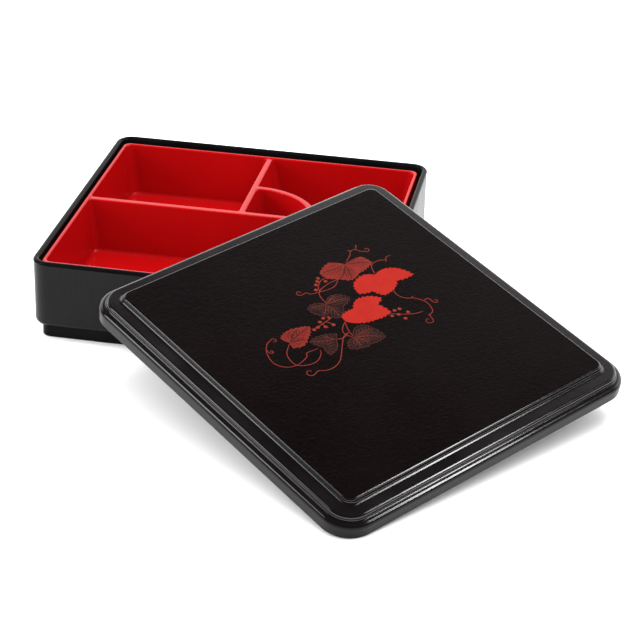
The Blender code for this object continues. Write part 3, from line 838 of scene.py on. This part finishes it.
def makeVine(s):
    # Leaf plates, veins, stems and berries stand on the panel, with their edges just below it.
    low, high = -s["edgeDepth"], s["relief"]
    paint = {name: lacquerMaterial("vine" + name.capitalize(), {**s["finish"], **colours},
                                   lidPlace) for name, colours in s["paints"].items()}
    kinds = {"solid": "bright", "veined": "dull", "drawn": "dark"}
    made, veins, lines = [], [], []
    for name, leaf in s["leaves"].items():
        margin = leafMargin(leaf, s["tooth"])
        plate = discMesh(margin, (low, high), (1.0, 1.0))
        count = len(margin)
        faces = gridFaces(2, count).tolist() + [list(range(count, 2 * count))]
        made.append(makePiece(name, plate.reshape(-1, 3), faces, [paint[kinds[leaf["kind"]]]]))
        made[-1].data.shade_flat()
        if leaf["kind"] == "drawn":
            closed = np.concatenate([margin, margin[:1]])
            lines.append(ribbon(closed, s["outlineWidth"], low, 1.3 * high, 0.01, 1.0))
        if leaf["kind"] != "solid":
            mains, sides = leafVeins(leaf, margin, s["veining"])
            for paths, width in ((mains, s["mainVeinWidth"]), (sides, s["veinWidth"])):
                strips = [ribbon(p, width, 0.7 * high, 1.25 * high) for p in paths]
                (veins if leaf["kind"] == "veined" else lines).extend(strips)
    made.append(ribbonPiece("leafVeins", veins, paint["vein"]))
    made.append(ribbonPiece("leafLines", lines, paint["line"]))
    stems = []
    for name, points in s["stems"].items():
        path = smoothPath(points)
        if name in s["curls"]:
            path = addCurl(path, s["curls"][name])
        stems.append(ribbon(path, s["stemWidth"], low, 0.8 * high, 0.15, 0.5))
    made.append(ribbonPiece("vineStems", stems, paint["stem"]))
    sides = s["berry"]["sides"]
    angle = np.linspace(0, 2 * math.pi, sides, endpoint=False)
    circle = np.stack([np.cos(angle), np.sin(angle)], 1) * s["berry"]["radius"]
    shares = [1.0] + [ring[0] for ring in s["berry"]["rings"]]
    lifts = [low] + [ring[1] * high for ring in s["berry"]["rings"]]
    points, faces, start = [], [], 0
    for berry in s["berries"]:
        grid = discMesh(circle + np.array(berry), lifts, shares)
        points.append(grid.reshape(-1, 3))
        faces += gridFaces(len(shares), sides, start).tolist()
        start += len(shares) * sides
        faces.append(list(range(start - sides, start)))
    made.append(makePiece("vineBerries", np.concatenate(points), faces, [paint["stem"]]))
    for piece in made:
        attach(piece, "root")
    return made


makeVine(vine)
print("vine ornament made")


# ---- floor, light and camera

studio = {
    "floorSize": 24.0, "floorColour": (0.88, 0.88, 0.88), "floorRoughness": 0.7,
    "floorSpecular": 0.2,
    "dome": {"horizon": 0.90, "zenith": 2.35, "glossBack": 2.0, "glossRest": 0.02,
             "glossHeight": (0.68, 0.80), "glossDepth": (0.10, 0.50)},
    "lights": {
        "rightStrip": {"at": (1.29, -0.106, 1.164), "aim": (0.20, -0.266, 0.012),
                       "along": (-0.659, 0.450, 0.603), "size": (1.05, 0.15), "power": 13.0,
                       "lights": False, "mirrored": True},
        "leftSoftbox": {"at": (-1.20, -0.60, 0.95), "aim": (0.05, -0.10, 0.03),
                        "along": (0.0, 1.0, 0.0), "size": (0.5, 0.8), "power": 7.5,
                        "lights": False, "mirrored": True},
        "topSoftbox": {"at": (0.45, 0.15, 2.15), "aim": (0.05, -0.03, 0.0),
                       "along": (1.0, 0.0, 0.0), "size": (1.6, 1.0), "power": 42.0,
                       "lights": True, "mirrored": False},
        "leftFill": {"at": (-1.50, -0.45, 0.55), "aim": (-0.05, -0.20, 0.0),
                     "along": (0.0, 1.0, 0.0), "size": (1.2, 0.8), "power": 26.0,
                     "lights": True, "mirrored": False},
    },
}
photoCamera = {
    "target": (0.07053, -0.04496, 0.0), "distance": 1.5154, "yaw": -9.735,
    "pitch": 27.384, "roll": 1.749, "focal": 116.008, "sensor": 36.0, "clip": (0.05, 60.0),
}


def makeFloor(s):
    half = s["floorSize"] / 2
    points = [(-half, -half, 0), (half, -half, 0), (half, half, 0), (-half, half, 0)]
    material, _, shader = newTree("floorPaper")
    shader.inputs["Base Color"].default_value = (*s["floorColour"], 1)
    shader.inputs["Roughness"].default_value = s["floorRoughness"]
    shader.inputs["Specular IOR Level"].default_value = s["floorSpecular"]
    floor = makePiece("paleFloor", points, [(0, 1, 2, 3)], [material])


def makeLights(s):
    # A white dome, brighter overhead; mirrored, it is bright only low at the back. Each light
    # either lights surfaces or is seen in them, and turns its long side to its along vector.
    world = bpy.data.worlds.new("studioWorld")
    world.use_nodes = True
    tree = world.node_tree
    sky = addNode(tree, "ShaderNodeTexCoord").outputs["Generated"]
    split = addNode(tree, "ShaderNodeSeparateXYZ", {"Vector": sky})
    rise = split.outputs["Z"]
    dome = s["dome"]
    soft = addNode(tree, "ShaderNodeMapRange", {
        "Value": rise, "To Min": dome["horizon"], "To Max": dome["zenith"]})
    low = addNode(tree, "ShaderNodeMapRange", {
        "Value": rise, "From Min": dome["glossHeight"][0], "From Max": dome["glossHeight"][1],
        "To Min": 1.0, "To Max": 0.0}, interpolation_type="SMOOTHSTEP")
    behind = addNode(tree, "ShaderNodeMapRange", {
        "Value": split.outputs["Y"], "From Min": dome["glossDepth"][0],
        "From Max": dome["glossDepth"][1]}, interpolation_type="SMOOTHSTEP")
    both = addNode(tree, "ShaderNodeMath", {0: low.outputs["Result"],
                                            1: behind.outputs["Result"]}, operation="MULTIPLY")
    gloss = addNode(tree, "ShaderNodeMapRange", {
        "Value": both.outputs["Value"], "To Min": dome["glossRest"],
        "To Max": dome["glossBack"]})
    pick = addNode(tree, "ShaderNodeMix", {
        "Factor": addNode(tree, "ShaderNodeLightPath").outputs["Is Glossy Ray"]})
    tree.links.new(soft.outputs["Result"], pick.inputs["A"])
    tree.links.new(gloss.outputs["Result"], pick.inputs["B"])
    tree.links.new(pick.outputs["Result"], tree.nodes["Background"].inputs["Strength"])
    tree.nodes["Background"].inputs["Color"].default_value = (1, 1, 1, 1)
    bpy.context.scene.world = world
    bpy.context.scene.view_settings.view_transform = "Standard"
    for name, settings in s["lights"].items():
        light = bpy.data.lights.new(name, "AREA")
        light.shape = "RECTANGLE"
        light.size, light.size_y = settings["size"]
        light.energy = settings["power"]
        holder = bpy.data.objects.new(name, light)
        bpy.context.scene.collection.objects.link(holder)
        holder.visible_glossy = settings["mirrored"]
        holder.visible_diffuse = settings["lights"]
        at = Vector(settings["at"])
        back = (at - Vector(settings["aim"])).normalized()
        across = back.cross(Vector(settings["along"])).normalized()
        along = across.cross(back)
        turn = Matrix((along, across, back)).transposed()
        holder.matrix_world = Matrix.Translation(at) @ turn.to_4x4()


def makeCamera(s):
    yaw, pitch, roll = (math.radians(s[k]) for k in ("yaw", "pitch", "roll"))
    ahead = Vector((math.sin(yaw) * math.cos(pitch), math.cos(yaw) * math.cos(pitch),
                    -math.sin(pitch)))
    level = Vector((math.cos(yaw), -math.sin(yaw), 0))
    upright = level.cross(ahead)
    right = level * math.cos(roll) + upright * math.sin(roll)
    up = upright * math.cos(roll) - level * math.sin(roll)
    camera = bpy.data.cameras.new("photoCamera")
    camera.lens, camera.sensor_width = s["focal"], s["sensor"]
    camera.clip_start, camera.clip_end = s["clip"]
    holder = bpy.data.objects.new("photoCamera", camera)
    bpy.context.scene.collection.objects.link(holder)
    place = Vector(s["target"]) - ahead * s["distance"]
    holder.matrix_world = Matrix((
        (right.x, up.x, -ahead.x, place.x), (right.y, up.y, -ahead.y, place.y),
        (right.z, up.z, -ahead.z, place.z), (0, 0, 0, 1)))
    bpy.context.scene.camera = holder


makeFloor(studio)
makeLights(studio)
makeCamera(photoCamera)
print("floor, lights and camera made")
